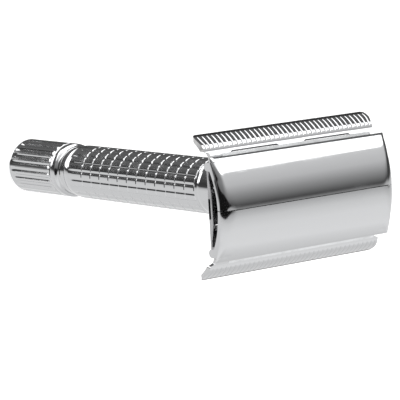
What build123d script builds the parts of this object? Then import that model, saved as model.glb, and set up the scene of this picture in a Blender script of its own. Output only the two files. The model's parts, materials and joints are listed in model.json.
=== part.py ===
from build123d import *
from math import cos, radians, sin, sqrt, tan
import os

# Twist-to-open double-edge safety razor, standing on the end of its knob.
# +Z runs up the handle to the crown of the head, +X along the cutting edges,
# +Y towards the rear door. The origin is the centre of the knob's flat end.
# Millimetres throughout.

# --- Driving dimensions ---------------------------------------------------

EDGE_Z = 97.7              # height of the doors' outer edges above the knob end
RUNNING = 0.05             # radial clearance of shafts and pins that turn or slide
END_PLAY = 0.08            # between a pin's end and the bottom of its hole

# Doors: two arched half-shells that meet over the middle of the head
DOOR_HALF_LENGTH = 22.04
DOOR_HALF_CHORD = 10.3
DOOR_RISE = 3.3            # crown above the outer edges
DOOR_SHEET = 1.0           # thickness at the crown
DOOR_LIP = 0.35            # blunt edge that holds the blade down
DOOR_SEAM = 0.08           # half of the gap between the doors
DOOR_END_ROUND = 3.0       # roll-down at the ends of the crown
DOOR_END_WALL = 0.52
CAVITY_CORNER = 1.3
EAR_THICKNESS = 0.9
EAR_RADIUS = 1.3
RIM_DROP = 1.85            # end wall, measured down from the outer surface

# Hinge line of each door, measured from the door edge level
PIVOT_Y = 8.5
PIVOT_Z = -1.3
PIN_RADIUS = 0.45
PIN_TIP = 21.7             # outer end of each pin, from the middle of the head

# Blade: bent over the bed by the closed doors
BLADE_RADIUS = 30.0
BLADE_SHEET = 0.1
BLADE_CROWN = 1.31         # middle of the sheet above the door edge level
BLADE_HALF_WIDTH = 11.05   # measured along the bent sheet
BLADE_EDGE_HALF_LENGTH = 18.6
BLADE_HALF_LENGTH = 21.43
BLADE_TAB_HALF_WIDTH = 6.5
BLADE_SLOT = (34.4, 2.7)   # length and width
BLADE_HOLE_RADIUS = 2.3
BLADE_HOLE_X = 12.7

# Guard: one pressed plate with a raised channel and two curved bars
GUARD_TOP = -2.0           # flat wings, from the door edge level
GUARD_SHEET = 0.9
GUARD_HALF_LENGTH = 20.3
GUARD_HALF_WIDTH = 14.34
GUARD_LIP_DROP = 6.0       # outer edge of the bars below the door edge level
GUARD_SLOPE = 28.0         # degrees, from the flat wing down to the bar's crease
CREST_RADIUS = 2.4         # each bar is a crest, then a flatter flank
FLANK_RADIUS = 7.3
BAR_TURNS = (8.0, 45.0, 70.0)  # degrees: slope at the crease, between the arcs and at the lip
GUARD_END_CREST = 21.5     # half-length of a bar at its crest
GUARD_END_LIP = 22.1       # half-length of a bar at its outer edge
GUARD_CORNER = 0.7
CHANNEL_INNER = 3.3
CHANNEL_OUTER = 3.9
CHANNEL_CEILING = 0.6
LATHER_SLOT = (12.7, 2.1)  # length and width
LATHER_SLOT_X = 9.2
LATHER_SLOT_Y = 9.8
WING_HALF_WIDTH = 9.8      # of the flat part

# Blade seat: two arched rails on the wings and a ridge on the channel
BED_RAIL_Y = (6.2, 8.9)
BED_RAIL_HALF_LENGTH = 18.2
BED_RIVET_X = 13.0
BED_RIVET_Y = 7.4
RIVET_RADIUS = 0.6
RIVET_HEAD = (1.1, 0.4)    # radius and height
RIVET_TOP = -0.4           # end of the bed rivets, from the door edge level
RIDGE_HALF_LENGTH = 16.4
RIDGE_HALF_WIDTH = 1.15
RIDGE_TOP = 2.05
RIDGE_RIVET_X = 12.0

# Lifting carriage
BAR_HALF_WIDTH = 3.1
BAR_BOTTOM = -2.8
BAR_THICKNESS = 0.7
BAR_TAB_HALF_WIDTH = 2.0
BRACKET_X = (20.4, 21.05)
BRACKET_TOP = (-1.6, -2.2)  # at the middle and towards the lugs
LUG_RADIUS = 1.0
SPINDLE_RADIUS = 1.65
SPINDLE_FOOT = 5.0
HUB_RADIUS = 2.6
HUB_HEIGHT = 0.9
TENON_RADIUS = 1.2

# Handle
HANDLE_RADIUS = 5.83
HANDLE_BORE = 4.0
HANDLE_BOTTOM = 19.65
NECK_RADIUS = 5.35
GRIP_START = 25.3
GRIP_PITCH = 3.42
GRIP_RINGS = 13
GRIP_GROOVE = (0.4, 0.3)   # width and depth of the ring grooves
BEARING_SPAN = (20.0, 26.0)
GUIDE_SPAN = (86.0, 92.0)

# Knob
KNOB_RADIUS = 5.95
KNOB_TOP = 19.55
FLUTE_TOP = 16.2
FLUTES = 24
FLUTE_RADIUS = 0.42
FLUTE_OFFSET = 0.12        # of each flute's centre outside the knob's surface
FOOT_CHAMFER = (0.45, 0.55)
KNOB_BORE = 4.6
KNOB_FLOOR = 16.5          # top of the wide bore
CAP_HEIGHT = 1.5
JOURNAL_RADIUS = 2.95
SLEEVE_SPAN = (3.0, 28.4)
SLEEVE_FLANGE = 1.6
WASHER_RADIUS = 3.7
WASHER_SPAN = (26.05, 26.4)
CLIP_RADII = (3.6, 2.6)
CLIP_SPAN = (26.5, 27.1)
CLIP_PLAY = 0.05
CLIP_GAP = 1.1             # half of the clip's opening

GUARD_UNDERSIDE = EDGE_Z + GUARD_TOP - GUARD_SHEET
DOOR_RADIUS = (DOOR_HALF_CHORD ** 2 + DOOR_RISE ** 2) / (2 * DOOR_RISE)
BED_RADIUS = BLADE_RADIUS - BLADE_SHEET / 2
BLADE_CENTRE_Z = EDGE_Z + BLADE_CROWN - BLADE_RADIUS


# --- Helpers ----------------------------------------------------------------

def span_box(x, y, z):
    """A box from three (low, high) pairs."""
    size = (x[1] - x[0], y[1] - y[0], z[1] - z[0])
    middle = ((x[0] + x[1]) / 2, (y[0] + y[1]) / 2, (z[0] + z[1]) / 2)
    return Pos(*middle) * Box(*size)


def rod(radius, low, high, at=(0, 0)):
    """An upright cylinder between two heights."""
    return Pos(at[0], at[1], (low + high) / 2) * Cylinder(radius, high - low)


def tube(outer, inner, low, high):
    return rod(outer, low, high) - rod(inner, low - 1, high + 1)


def rod_along_x(radius, low, high, y, z):
    middle = (low + high) / 2
    return Pos(middle, y, z) * Rot(0, 90, 0) * Cylinder(radius, high - low)


def turned(points):
    """A solid of revolution about the Z axis from (radius, height) points."""
    outline = Polyline(*[(r, 0, z) for r, z in points], close=True)
    return revolve(make_face(outline), Axis.Z)


def along_x(outline, half_length):
    """Extrude an outline drawn in (y, z) equally both ways along X."""
    face = Plane.YZ * make_face(outline)
    return extrude(face, amount=half_length, both=True)


def bed_z(y):
    """Height of the bent blade's underside at y."""
    return BLADE_CENTRE_Z + sqrt(BED_RADIUS ** 2 - y ** 2)


def mirrored(solid):
    return mirror(solid, about=Plane.XZ)


# --- Handle -----------------------------------------------------------------

def handle_tube():
    width, depth = GRIP_GROOVE
    outline = [
        (HANDLE_BORE, HANDLE_BOTTOM),
        (NECK_RADIUS, HANDLE_BOTTOM),
        (NECK_RADIUS, HANDLE_BOTTOM + 1.0),
        (NECK_RADIUS + 0.3, HANDLE_BOTTOM + 1.6),
        (HANDLE_RADIUS, HANDLE_BOTTOM + 2.8),
    ]
    for ring in range(GRIP_RINGS + 1):
        z = GRIP_START + ring * GRIP_PITCH
        outline += [
            (HANDLE_RADIUS, z - width / 2),
            (HANDLE_RADIUS - depth, z - width / 4),
            (HANDLE_RADIUS - depth, z + width / 4),
            (HANDLE_RADIUS, z + width / 2),
        ]
    outline += [(HANDLE_RADIUS, GUARD_UNDERSIDE), (HANDLE_BORE, GUARD_UNDERSIDE)]
    return turned(outline)


def knob_bearing():
    """Bush in the foot of the handle that the knob's journal turns in."""
    return tube(HANDLE_BORE, JOURNAL_RADIUS + RUNNING, *BEARING_SPAN)


def spindle_guide():
    """Bush near the head that keeps the spindle central."""
    return tube(HANDLE_BORE, SPINDLE_RADIUS + RUNNING, *GUIDE_SPAN)


# --- Knob -------------------------------------------------------------------

def knob_shell():
    section = Circle(KNOB_RADIUS)
    for index in range(FLUTES):
        turn = radians(360 / FLUTES * index)
        reach = KNOB_RADIUS + FLUTE_OFFSET
        section -= Pos(reach * cos(turn), reach * sin(turn)) * Circle(FLUTE_RADIUS)
    inset, height = FOOT_CHAMFER
    envelope = turned([
        (0, 0),
        (KNOB_RADIUS - inset, 0),
        (KNOB_RADIUS, height),
        (KNOB_RADIUS, FLUTE_TOP),
        (0, FLUTE_TOP),
    ])
    collar = turned([
        (0, FLUTE_TOP),
        (KNOB_RADIUS - 0.35, FLUTE_TOP),
        (KNOB_RADIUS, FLUTE_TOP + 0.5),
        (KNOB_RADIUS, FLUTE_TOP + 1.8),
        (KNOB_RADIUS - 0.3, FLUTE_TOP + 2.2),
        (NECK_RADIUS, FLUTE_TOP + 2.4),
        (NECK_RADIUS, KNOB_TOP),
        (0, KNOB_TOP),
    ])
    body = (extrude(section, amount=FLUTE_TOP) & envelope) + collar
    return body - rod(KNOB_BORE, -1, KNOB_FLOOR) - rod(JOURNAL_RADIUS, KNOB_FLOOR, KNOB_TOP + 1)


def knob_end_cap():
    """Plug that closes the knob; its face is the foot of the razor."""
    return rod(KNOB_BORE, 0, CAP_HEIGHT)


def drive_tube():
    """Threaded sleeve fixed in the knob; its neck is the knob's journal."""
    low, high = SLEEVE_SPAN
    body = rod(JOURNAL_RADIUS, low, high) + rod(KNOB_BORE, KNOB_FLOOR - SLEEVE_FLANGE, KNOB_FLOOR)
    clip_groove = tube(JOURNAL_RADIUS + 1, CLIP_RADII[1], *CLIP_SPAN)
    return body - clip_groove - rod(SPINDLE_RADIUS + RUNNING, low - 1, high + 1)


def friction_washer():
    return tube(WASHER_RADIUS, JOURNAL_RADIUS + RUNNING, *WASHER_SPAN)


def retaining_clip():
    low, high = CLIP_SPAN
    ring = tube(*CLIP_RADII, low + CLIP_PLAY, high - CLIP_PLAY)
    return ring - span_box((0, 5), (-CLIP_GAP, CLIP_GAP), (low, high))


# --- Carriage ---------------------------------------------------------------

def spindle():
    """Rod with the hub that carries the lifter bar; its foot is threaded."""
    hub_top = EDGE_Z + BAR_BOTTOM
    shank = rod(SPINDLE_RADIUS, SPINDLE_FOOT, hub_top - HUB_HEIGHT)
    hub = rod(HUB_RADIUS, hub_top - HUB_HEIGHT, hub_top)
    tenon = rod(TENON_RADIUS, hub_top, hub_top + BAR_THICKNESS)
    return shank + hub + tenon


def lifter_bar():
    """Flat bar along the head; a tab at each end enters the end bracket."""
    low = EDGE_Z + BAR_BOTTOM
    high = low + BAR_THICKNESS
    inner, outer = BRACKET_X
    bar = span_box((-inner, inner), (-BAR_HALF_WIDTH, BAR_HALF_WIDTH), (low, high))
    tabs = span_box((-outer, outer), (-BAR_TAB_HALF_WIDTH, BAR_TAB_HALF_WIDTH), (low, high))
    return bar + tabs - rod(TENON_RADIUS, low - 1, high + 1)


def end_bracket(side):
    """Cross plate at one end of the lifter bar, with a lug for each door."""
    inner, outer = BRACKET_X
    middle_top, side_top = BRACKET_TOP
    sill = [
        (0, BAR_BOTTOM),
        (PIVOT_Y - 0.2, BAR_BOTTOM),
        (PIVOT_Y + LUG_RADIUS, PIVOT_Z - 0.5),
        (PIVOT_Y + LUG_RADIUS, PIVOT_Z),
        (PIVOT_Y - LUG_RADIUS, PIVOT_Z),
        (PIVOT_Y - LUG_RADIUS, side_top),
        (6.2, side_top),
        (3.0, middle_top),
        (0, middle_top),
    ]
    half_sheet = (outer - inner) / 2
    half = along_x(Polyline(*sill, close=True), half_sheet)
    half += rod_along_x(LUG_RADIUS, -half_sheet, half_sheet, PIVOT_Y, PIVOT_Z)
    half -= rod_along_x(PIN_RADIUS, -1, 1, PIVOT_Y, PIVOT_Z)
    notch = span_box(
        (-1, 1),
        (-BAR_TAB_HALF_WIDTH, BAR_TAB_HALF_WIDTH),
        (BAR_BOTTOM - 1, BAR_BOTTOM + BAR_THICKNESS),
    )
    plate = half + mirrored(half) - notch
    return Pos(side * (inner + outer) / 2, 0, EDGE_Z) * plate


def hinge_pins():
    """Four short pins, pressed in the brackets' lugs, that the doors turn on."""
    pins = []
    for side in (-1, 1):
        for across in (-1, 1):
            ends = sorted((side * BRACKET_X[0], side * PIN_TIP))
            pins.append(rod_along_x(PIN_RADIUS, *ends, across * PIVOT_Y, EDGE_Z + PIVOT_Z))
    return Compound(children=pins)


# --- Guard and blade seat ---------------------------------------------------

def guard_bar():
    """Curved bar along the +Y side, reached by the sloping edge of the wing."""
    crease_turn, middle_turn, lip_turn = (radians(turn) for turn in BAR_TURNS)
    flank_centre = (
        GUARD_HALF_WIDTH - FLANK_RADIUS * sin(lip_turn),
        -GUARD_LIP_DROP - FLANK_RADIUS * cos(lip_turn),
    )
    shift = FLANK_RADIUS - CREST_RADIUS
    crest_centre = (flank_centre[0] + shift * sin(middle_turn), flank_centre[1] + shift * cos(middle_turn))

    def on_crest(depth, turn):
        radius = CREST_RADIUS - depth
        return (crest_centre[0] + radius * sin(turn), crest_centre[1] + radius * cos(turn))

    def on_flank(depth, turn):
        radius = FLANK_RADIUS - depth
        return (flank_centre[0] + radius * sin(turn), flank_centre[1] + radius * cos(turn))

    def slope_top(depth):
        """Where the wing's flat face, or its underside, starts to slope down to the crease."""
        y, z = on_crest(depth, crease_turn)
        level = GUARD_TOP - depth
        return (y - (level - z) / tan(radians(GUARD_SLOPE)), level)

    def curved_face(depth):
        """The crest's arc and the flank's arc, from the crease to the lip."""
        crest_middle = on_crest(depth, (crease_turn + middle_turn) / 2)
        flank_middle = on_flank(depth, (middle_turn + lip_turn) / 2)
        joint = on_crest(depth, middle_turn)
        crest = ThreePointArc(on_crest(depth, crease_turn), crest_middle, joint)
        return crest + ThreePointArc(joint, flank_middle, on_flank(depth, lip_turn))

    wing_edge = slope_top(0)[0] - 0.5
    outline = curved_face(0) + curved_face(GUARD_SHEET)
    outline += Polyline(on_flank(0, lip_turn), on_flank(GUARD_SHEET, lip_turn))
    outline += Polyline(
        on_crest(0, crease_turn),
        slope_top(0),
        (wing_edge, GUARD_TOP),
        (wing_edge, GUARD_TOP - GUARD_SHEET),
        slope_top(GUARD_SHEET),
        on_crest(GUARD_SHEET, crease_turn),
    )
    bar = along_x(outline, GUARD_END_LIP)
    crease_y = on_crest(0, crease_turn)[0]
    plan = Polyline(
        (-GUARD_HALF_LENGTH, wing_edge - 1),
        (-GUARD_HALF_LENGTH, crease_y - 0.1),
        (-GUARD_END_CREST, crease_y + 0.2),
        (-GUARD_END_LIP, GUARD_HALF_WIDTH),
        (GUARD_END_LIP, GUARD_HALF_WIDTH),
        (GUARD_END_CREST, crease_y + 0.2),
        (GUARD_HALF_LENGTH, crease_y - 0.1),
        (GUARD_HALF_LENGTH, wing_edge - 1),
        close=True,
    )
    face = make_face(plan)
    face = fillet(face.vertices().group_by(Axis.Y)[-1], GUARD_CORNER)
    return bar & (Pos(0, 0, -8) * extrude(face, amount=10))


def rivet_places():
    """Centres of the four rivets that hold the bed rails."""
    return [(side * BED_RIVET_X, across * BED_RIVET_Y) for side in (-1, 1) for across in (-1, 1)]


def guard_plate():
    under = GUARD_TOP - GUARD_SHEET
    wing = span_box(
        (-GUARD_HALF_LENGTH, GUARD_HALF_LENGTH),
        (CHANNEL_INNER, WING_HALF_WIDTH),
        (under, GUARD_TOP),
    )
    half = wing + guard_bar()
    slot_length, slot_width = LATHER_SLOT
    slot = extrude(SlotOverall(slot_length, slot_width), amount=4)
    for x in (-LATHER_SLOT_X, LATHER_SLOT_X):
        half -= Pos(x, LATHER_SLOT_Y, GUARD_TOP - 2) * slot
    roof_edge = bed_z(CHANNEL_OUTER) - EDGE_Z
    roof_crown = bed_z(0) - EDGE_Z
    channel = Polyline(
        (CHANNEL_OUTER, roof_edge),
        (CHANNEL_OUTER, under),
        (CHANNEL_INNER, under),
        (CHANNEL_INNER, CHANNEL_CEILING),
        (-CHANNEL_INNER, CHANNEL_CEILING),
        (-CHANNEL_INNER, under),
        (-CHANNEL_OUTER, under),
        (-CHANNEL_OUTER, roof_edge),
    )
    channel += ThreePointArc((-CHANNEL_OUTER, roof_edge), (0, roof_crown), (CHANNEL_OUTER, roof_edge))
    plate = half + mirrored(half) + along_x(channel, GUARD_HALF_LENGTH)
    for place in rivet_places():
        plate -= rod(RIVET_RADIUS, under - 1, GUARD_TOP + 1, place)
    for x in (-RIDGE_RIVET_X, RIDGE_RIVET_X):
        plate -= rod(RIVET_RADIUS, CHANNEL_CEILING - 0.1, RIDGE_TOP, (x, 0))
    return Pos(0, 0, EDGE_Z) * plate


def bed_rail(side):
    """Arched rail on the guard that supports one half of the blade."""
    inner, outer = BED_RAIL_Y
    middle = (inner + outer) / 2
    outline = Polyline(
        (inner, bed_z(inner)),
        (inner, EDGE_Z + GUARD_TOP),
        (outer, EDGE_Z + GUARD_TOP),
        (outer, bed_z(outer)),
    )
    outline += ThreePointArc((outer, bed_z(outer)), (middle, bed_z(middle)), (inner, bed_z(inner)))
    rail = along_x(outline, BED_RAIL_HALF_LENGTH)
    for x in (-BED_RIVET_X, BED_RIVET_X):
        rail -= rod(RIVET_RADIUS, GUARD_UNDERSIDE, EDGE_Z + RIVET_TOP, (x, BED_RIVET_Y))
    return rail if side > 0 else mirrored(rail)


def bed_rivets():
    head_radius, head_height = RIVET_HEAD
    rivets = []
    for place in rivet_places():
        shank = rod(RIVET_RADIUS, GUARD_UNDERSIDE, EDGE_Z + RIVET_TOP, place)
        head = rod(head_radius, GUARD_UNDERSIDE - head_height, GUARD_UNDERSIDE, place)
        rivets.append(shank + head)
    return Compound(children=rivets)


def centre_rail():
    """Ridge that stands through the blade's slot and locates the blade."""
    rail = span_box(
        (-RIDGE_HALF_LENGTH, RIDGE_HALF_LENGTH),
        (-RIDGE_HALF_WIDTH, RIDGE_HALF_WIDTH),
        (EDGE_Z + 1.0, EDGE_Z + RIDGE_TOP),
    )
    rail -= Pos(0, 0, BLADE_CENTRE_Z) * Rot(0, 90, 0) * Cylinder(BED_RADIUS, 60)
    for x in (-RIDGE_RIVET_X, RIDGE_RIVET_X):
        rail -= rod(RIVET_RADIUS, EDGE_Z, EDGE_Z + RIDGE_TOP + 1, (x, 0))
    return rail


def rail_rivets():
    rivets = []
    for x in (-RIDGE_RIVET_X, RIDGE_RIVET_X):
        rivets.append(rod(RIVET_RADIUS, EDGE_Z + CHANNEL_CEILING, EDGE_Z + RIDGE_TOP, (x, 0)))
    return Compound(children=rivets)


def double_edge_blade():
    """Thin sheet bent over the bed, with end tabs and a long centre slot."""
    half_angle = BLADE_HALF_WIDTH / BLADE_RADIUS
    half_chord = (BLADE_RADIUS + BLADE_SHEET / 2) * sin(half_angle)
    sheet = Cylinder(BLADE_RADIUS + BLADE_SHEET / 2, 2 * BLADE_HALF_LENGTH)
    sheet -= Cylinder(BLADE_RADIUS - BLADE_SHEET / 2, 2 * BLADE_HALF_LENGTH + 1)
    sheet = Pos(0, 0, BLADE_CENTRE_Z) * Rot(0, 90, 0) * sheet
    plan = Rectangle(2 * BLADE_EDGE_HALF_LENGTH, 2 * half_chord)
    plan += Rectangle(2 * BLADE_HALF_LENGTH, 2 * BLADE_TAB_HALF_WIDTH)
    plan -= SlotOverall(*BLADE_SLOT)
    for x in (-BLADE_HOLE_X, 0, BLADE_HOLE_X):
        plan -= Pos(x, 0) * Circle(BLADE_HOLE_RADIUS)
    return sheet & (Pos(0, 0, EDGE_Z - 4) * extrude(plan, amount=7))


# --- Doors ------------------------------------------------------------------

def outer_z(y, drop=0.0):
    """Height of the door's arch at y, or of an arch inside it by drop."""
    return DOOR_RISE - DOOR_RADIUS + sqrt((DOOR_RADIUS - drop) ** 2 - y ** 2)


def door_outline():
    """Outer section of the rear door with its end wall and ear, in (y, z)."""
    ear_in = PIVOT_Y - EAR_RADIUS
    ear_out = PIVOT_Y + EAR_RADIUS
    start = (DOOR_SEAM, outer_z(DOOR_SEAM))
    shoulder_y = DOOR_HALF_CHORD - 0.18
    shoulder = (shoulder_y, outer_z(shoulder_y))
    edge_top = (DOOR_HALF_CHORD, -0.14)
    rim_end = (ear_in, outer_z(ear_in, RIM_DROP))
    rim_start = (DOOR_SEAM, outer_z(DOOR_SEAM, RIM_DROP))
    outline = ThreePointArc(start, (5.0, outer_z(5.0)), shoulder)
    outline += ThreePointArc(shoulder, (DOOR_HALF_CHORD - 0.05, 0.0), edge_top)
    outline += Polyline(
        edge_top,
        (DOOR_HALF_CHORD, -DOOR_LIP),
        (ear_out, -DOOR_LIP),
        (ear_out, PIVOT_Z),
    )
    outline += ThreePointArc((ear_out, PIVOT_Z), (PIVOT_Y, PIVOT_Z - EAR_RADIUS), (ear_in, PIVOT_Z))
    outline += Line((ear_in, PIVOT_Z), rim_end)
    outline += ThreePointArc(rim_end, (4.0, outer_z(4.0, RIM_DROP)), rim_start)
    outline += Line(rim_start, start)
    return outline


def end_profile(half_length, top, corner):
    """Side view of the crown, square below and rounded at both upper corners."""
    low = -4.0
    face = Rectangle(2 * half_length, top - low)
    face = fillet(face.vertices().group_by(Axis.Y)[-1], corner)
    face = Pos(0, (top + low) / 2) * face
    return extrude(Plane.XZ * face, amount=30, both=True)


def door_cavity(half_length, across):
    """Hollow under the door between two y values, open below."""
    inner_top = DOOR_RISE - DOOR_SHEET
    lip_y = DOOR_HALF_CHORD - 0.3
    sag = inner_top + DOOR_LIP
    radius = (lip_y ** 2 + sag ** 2) / (2 * sag)
    hollow = Pos(0, 0, inner_top - radius) * Rot(0, 90, 0) * Cylinder(radius, 60)
    window = span_box((-30, 30), across, (-3, 4))
    below = span_box((-30, 30), (across[0], min(across[1], lip_y)), (-4, -DOOR_LIP))
    return ((hollow & window) + below) & end_profile(half_length, inner_top, CAVITY_CORNER)


def rear_door():
    shell = along_x(door_outline(), DOOR_HALF_LENGTH)
    shell &= end_profile(DOOR_HALF_LENGTH, DOOR_RISE, DOOR_END_ROUND)
    ear_inner = DOOR_HALF_LENGTH - EAR_THICKNESS
    ear_start = PIVOT_Y - EAR_RADIUS - 0.3
    shell -= door_cavity(ear_inner, (-1, 12))
    shell -= door_cavity(DOOR_HALF_LENGTH - DOOR_END_WALL, (-1, ear_start))
    for side in (-1, 1):
        ends = sorted((side * (ear_inner - 1), side * (PIN_TIP + END_PLAY)))
        shell -= rod_along_x(PIN_RADIUS + RUNNING, *ends, PIVOT_Y, PIVOT_Z)
    return Pos(0, 0, EDGE_Z) * shell


# --- Assembly ---------------------------------------------------------------

rear = rear_door()
nodes = {
    "handle_tube": handle_tube(),
    "knob_bearing": knob_bearing(),
    "spindle_guide": spindle_guide(),
    "guard_plate": guard_plate(),
    "front_bed_rail": bed_rail(-1),
    "rear_bed_rail": bed_rail(1),
    "bed_rivets": bed_rivets(),
    "centre_rail": centre_rail(),
    "rail_rivets": rail_rivets(),
    "double_edge_blade": double_edge_blade(),
    "knob_shell": knob_shell(),
    "knob_end_cap": knob_end_cap(),
    "drive_tube": drive_tube(),
    "friction_washer": friction_washer(),
    "retaining_clip": retaining_clip(),
    "spindle": spindle(),
    "lifter_bar": lifter_bar(),
    "left_end_bracket": end_bracket(-1),
    "right_end_bracket": end_bracket(1),
    "hinge_pins": hinge_pins(),
    "front_door": mirrored(rear),
    "rear_door": rear,
}

os.makedirs("parts", exist_ok=True)
for name, solid in nodes.items():
    export_step(solid, f"parts/{name}.step")
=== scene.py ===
import json
from math import cos, exp, pi, radians, sin, sqrt, tan

import bmesh
import bpy
from mathutils import Matrix, Vector


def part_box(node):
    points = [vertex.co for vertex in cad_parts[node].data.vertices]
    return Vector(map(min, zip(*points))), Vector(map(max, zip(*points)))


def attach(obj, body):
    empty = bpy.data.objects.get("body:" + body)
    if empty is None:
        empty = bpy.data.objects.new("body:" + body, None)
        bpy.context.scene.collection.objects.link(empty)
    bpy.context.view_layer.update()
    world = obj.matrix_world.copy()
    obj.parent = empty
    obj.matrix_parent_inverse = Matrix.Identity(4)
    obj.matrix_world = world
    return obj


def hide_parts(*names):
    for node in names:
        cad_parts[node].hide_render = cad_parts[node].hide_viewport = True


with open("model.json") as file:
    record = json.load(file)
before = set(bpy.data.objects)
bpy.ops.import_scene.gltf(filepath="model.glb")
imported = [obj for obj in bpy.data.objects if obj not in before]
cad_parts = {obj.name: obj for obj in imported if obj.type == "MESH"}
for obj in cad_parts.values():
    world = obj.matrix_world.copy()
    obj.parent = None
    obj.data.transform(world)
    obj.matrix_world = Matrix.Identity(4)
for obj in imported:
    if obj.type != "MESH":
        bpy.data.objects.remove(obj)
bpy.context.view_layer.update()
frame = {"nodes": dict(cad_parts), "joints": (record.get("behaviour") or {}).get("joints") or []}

# A twist-to-open double-edge safety razor, standing on its knob in the CAD frame.
# Shapes are worked out in millimetres and written to the meshes in metres.

MM = 0.001


# --- Sizes taken from the frame ---------------------------------------------

def box_mm(node):
    low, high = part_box(node)
    return low / MM, high / MM


DOOR_LOW, DOOR_HIGH = box_mm("rear_door")
GUARD_HIGH = box_mm("guard_plate")[1]
HANDLE_LOW, HANDLE_HIGH = box_mm("handle_tube")
KNOB_HIGH = box_mm("knob_shell")[1]
BLADE_HIGH = box_mm("double_edge_blade")[1]
BRACKET_LOW, BRACKET_HIGH = box_mm("right_end_bracket")
CAP_HIGH = box_mm("knob_end_cap")[1]
RIVETS_LOW, RIVETS_HIGH = box_mm("bed_rivets")

DOOR_RISE = 3.3                        # of the doors' arch over their outer edges
EDGE = DOOR_HIGH.z - DOOR_RISE         # level of those edges
DOOR_RADIUS = (DOOR_HIGH.y ** 2 + DOOR_RISE ** 2) / (2 * DOOR_RISE)
PIVOT = Vector(next(j["pos_m"] for j in frame["joints"] if j["name"] == "rear_door_swing")) / MM

FLUTES = 24                            # round the knob
PADS = 20                              # round the grip
STEPS = 12                             # mesh points to a flute or pad


# --- Mesh helpers -----------------------------------------------------------

def piece(name, points, faces, body, slot, replaces, soft=0.0, smooth=35, merge=0.002):
    """A closed piece from points in mm, with doubled points merged and edges softened."""
    mesh = bpy.data.meshes.new(name)
    mesh.from_pydata([Vector(p) * MM for p in points], [], faces)
    work = bmesh.new()
    work.from_mesh(mesh)
    bmesh.ops.remove_doubles(work, verts=work.verts, dist=merge * MM)
    bmesh.ops.dissolve_degenerate(work, edges=work.edges, dist=merge * MM * 0.5)
    loose = [v for v in work.verts if not v.link_faces]
    bmesh.ops.delete(work, geom=loose, context="VERTS")
    bmesh.ops.recalc_face_normals(work, faces=work.faces)
    work.to_mesh(mesh)
    work.free()
    for face in mesh.polygons:
        face.use_smooth = True
    mesh.set_sharp_from_angle(angle=radians(smooth))
    made = bpy.data.objects.new(name, mesh)
    bpy.context.scene.collection.objects.link(made)
    if soft:
        edges = made.modifiers.new("soft_edges", "BEVEL")
        edges.width = soft * MM
        edges.segments = 2
        edges.limit_method = "ANGLE"
        edges.angle_limit = radians(50)
    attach(made, body)
    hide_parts(*replaces)
    return made


def grid_faces(rows, columns, first=0, wrap_rows=False, wrap_columns=False):
    """Quads of a grid whose points are stored row by row."""
    faces = []
    for i in range(rows if wrap_rows else rows - 1):
        for j in range(columns if wrap_columns else columns - 1):
            k, m = (i + 1) % rows, (j + 1) % columns
            faces.append((
                first + i * columns + j,
                first + i * columns + m,
                first + k * columns + m,
                first + k * columns + j,
            ))
    return faces


def shell(outer, inner):
    """Points and faces of a sheet between two grids, closed along its four sides."""
    rows, columns = len(outer), len(outer[0])
    points = [p for row in outer for p in row] + [p for row in inner for p in row]
    size = rows * columns
    faces = grid_faces(rows, columns) + grid_faces(rows, columns, size)
    for i in range(rows - 1):
        for j in (0, columns - 1):
            a, b = i * columns + j, (i + 1) * columns + j
            faces.append((a, b, b + size, a + size))
    for j in range(columns - 1):
        for i in (0, rows - 1):
            a, b = i * columns + j, i * columns + j + 1
            faces.append((a, b, b + size, a + size))
    return points, faces


def turned(profile, around, radius_at=None):
    """A solid turned about Z from a closed loop of (radius, z); radius_at may cut flutes in it."""
    points = []
    for r, z in profile:
        for step in range(around):
            turn = 2 * pi * step / around
            reach = radius_at(r, z, turn) if radius_at else r
            points.append((reach * cos(turn), reach * sin(turn), z))
    return points, grid_faces(len(profile), around, wrap_rows=True, wrap_columns=True)


def both_sides(half_of, columns):
    """Points and faces of the halves at +Y and -Y, joined in one mesh."""
    points, faces = half_of(1, columns)
    other_points, other_faces = half_of(-1, columns)
    shift = len(points)
    return points + other_points, faces + [tuple(i + shift for i in face) for face in other_faces]


def spread(low, high, count):
    """Evenly spaced values, both ends included."""
    return [low + (high - low) * i / (count - 1) for i in range(count)]


def smoothstep(low, high, value):
    """0 at low, 1 at high and a smooth rise between; low may be the larger."""
    t = min(1.0, max(0.0, (value - low) / (high - low)))
    return t * t * (3 - 2 * t)


def mirrored_rows(rows):
    return [[(x, -y, z) for x, y, z in row] for row in rows]


# --- Shader helpers ---------------------------------------------------------

def feed(tree, socket, value):
    """Sets a socket to a number or colour, or links another node's output to it."""
    if isinstance(value, bpy.types.NodeSocket):
        tree.links.new(value, socket)
    else:
        socket.default_value = value


def math_node(tree, operation, first, second):
    node = tree.nodes.new("ShaderNodeMath")
    node.operation = operation
    feed(tree, node.inputs[0], first)
    feed(tree, node.inputs[1], second)
    return node.outputs["Value"]


def range_node(tree, value, low, high, to_low=0.0, to_high=1.0):
    """A smooth step from to_low to to_high as the value goes from low to high."""
    node = tree.nodes.new("ShaderNodeMapRange")
    node.interpolation_type = "SMOOTHSTEP"
    for name, number in (("From Min", low), ("From Max", high), ("To Min", to_low), ("To Max", to_high)):
        node.inputs[name].default_value = number
    tree.links.new(value, node.inputs["Value"])
    return node.outputs["Result"]


def mix_node(tree, factor, first, second):
    node = tree.nodes.new("ShaderNodeMix")
    node.data_type = "RGBA"
    tree.links.new(factor, node.inputs["Factor"])
    for name, value in (("A", first), ("B", second)):
        feed(tree, next(s for s in node.inputs if s.name == name and s.type == "RGBA"), value)
    return next(s for s in node.outputs if s.type == "RGBA")


# --- Materials --------------------------------------------------------------

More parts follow.
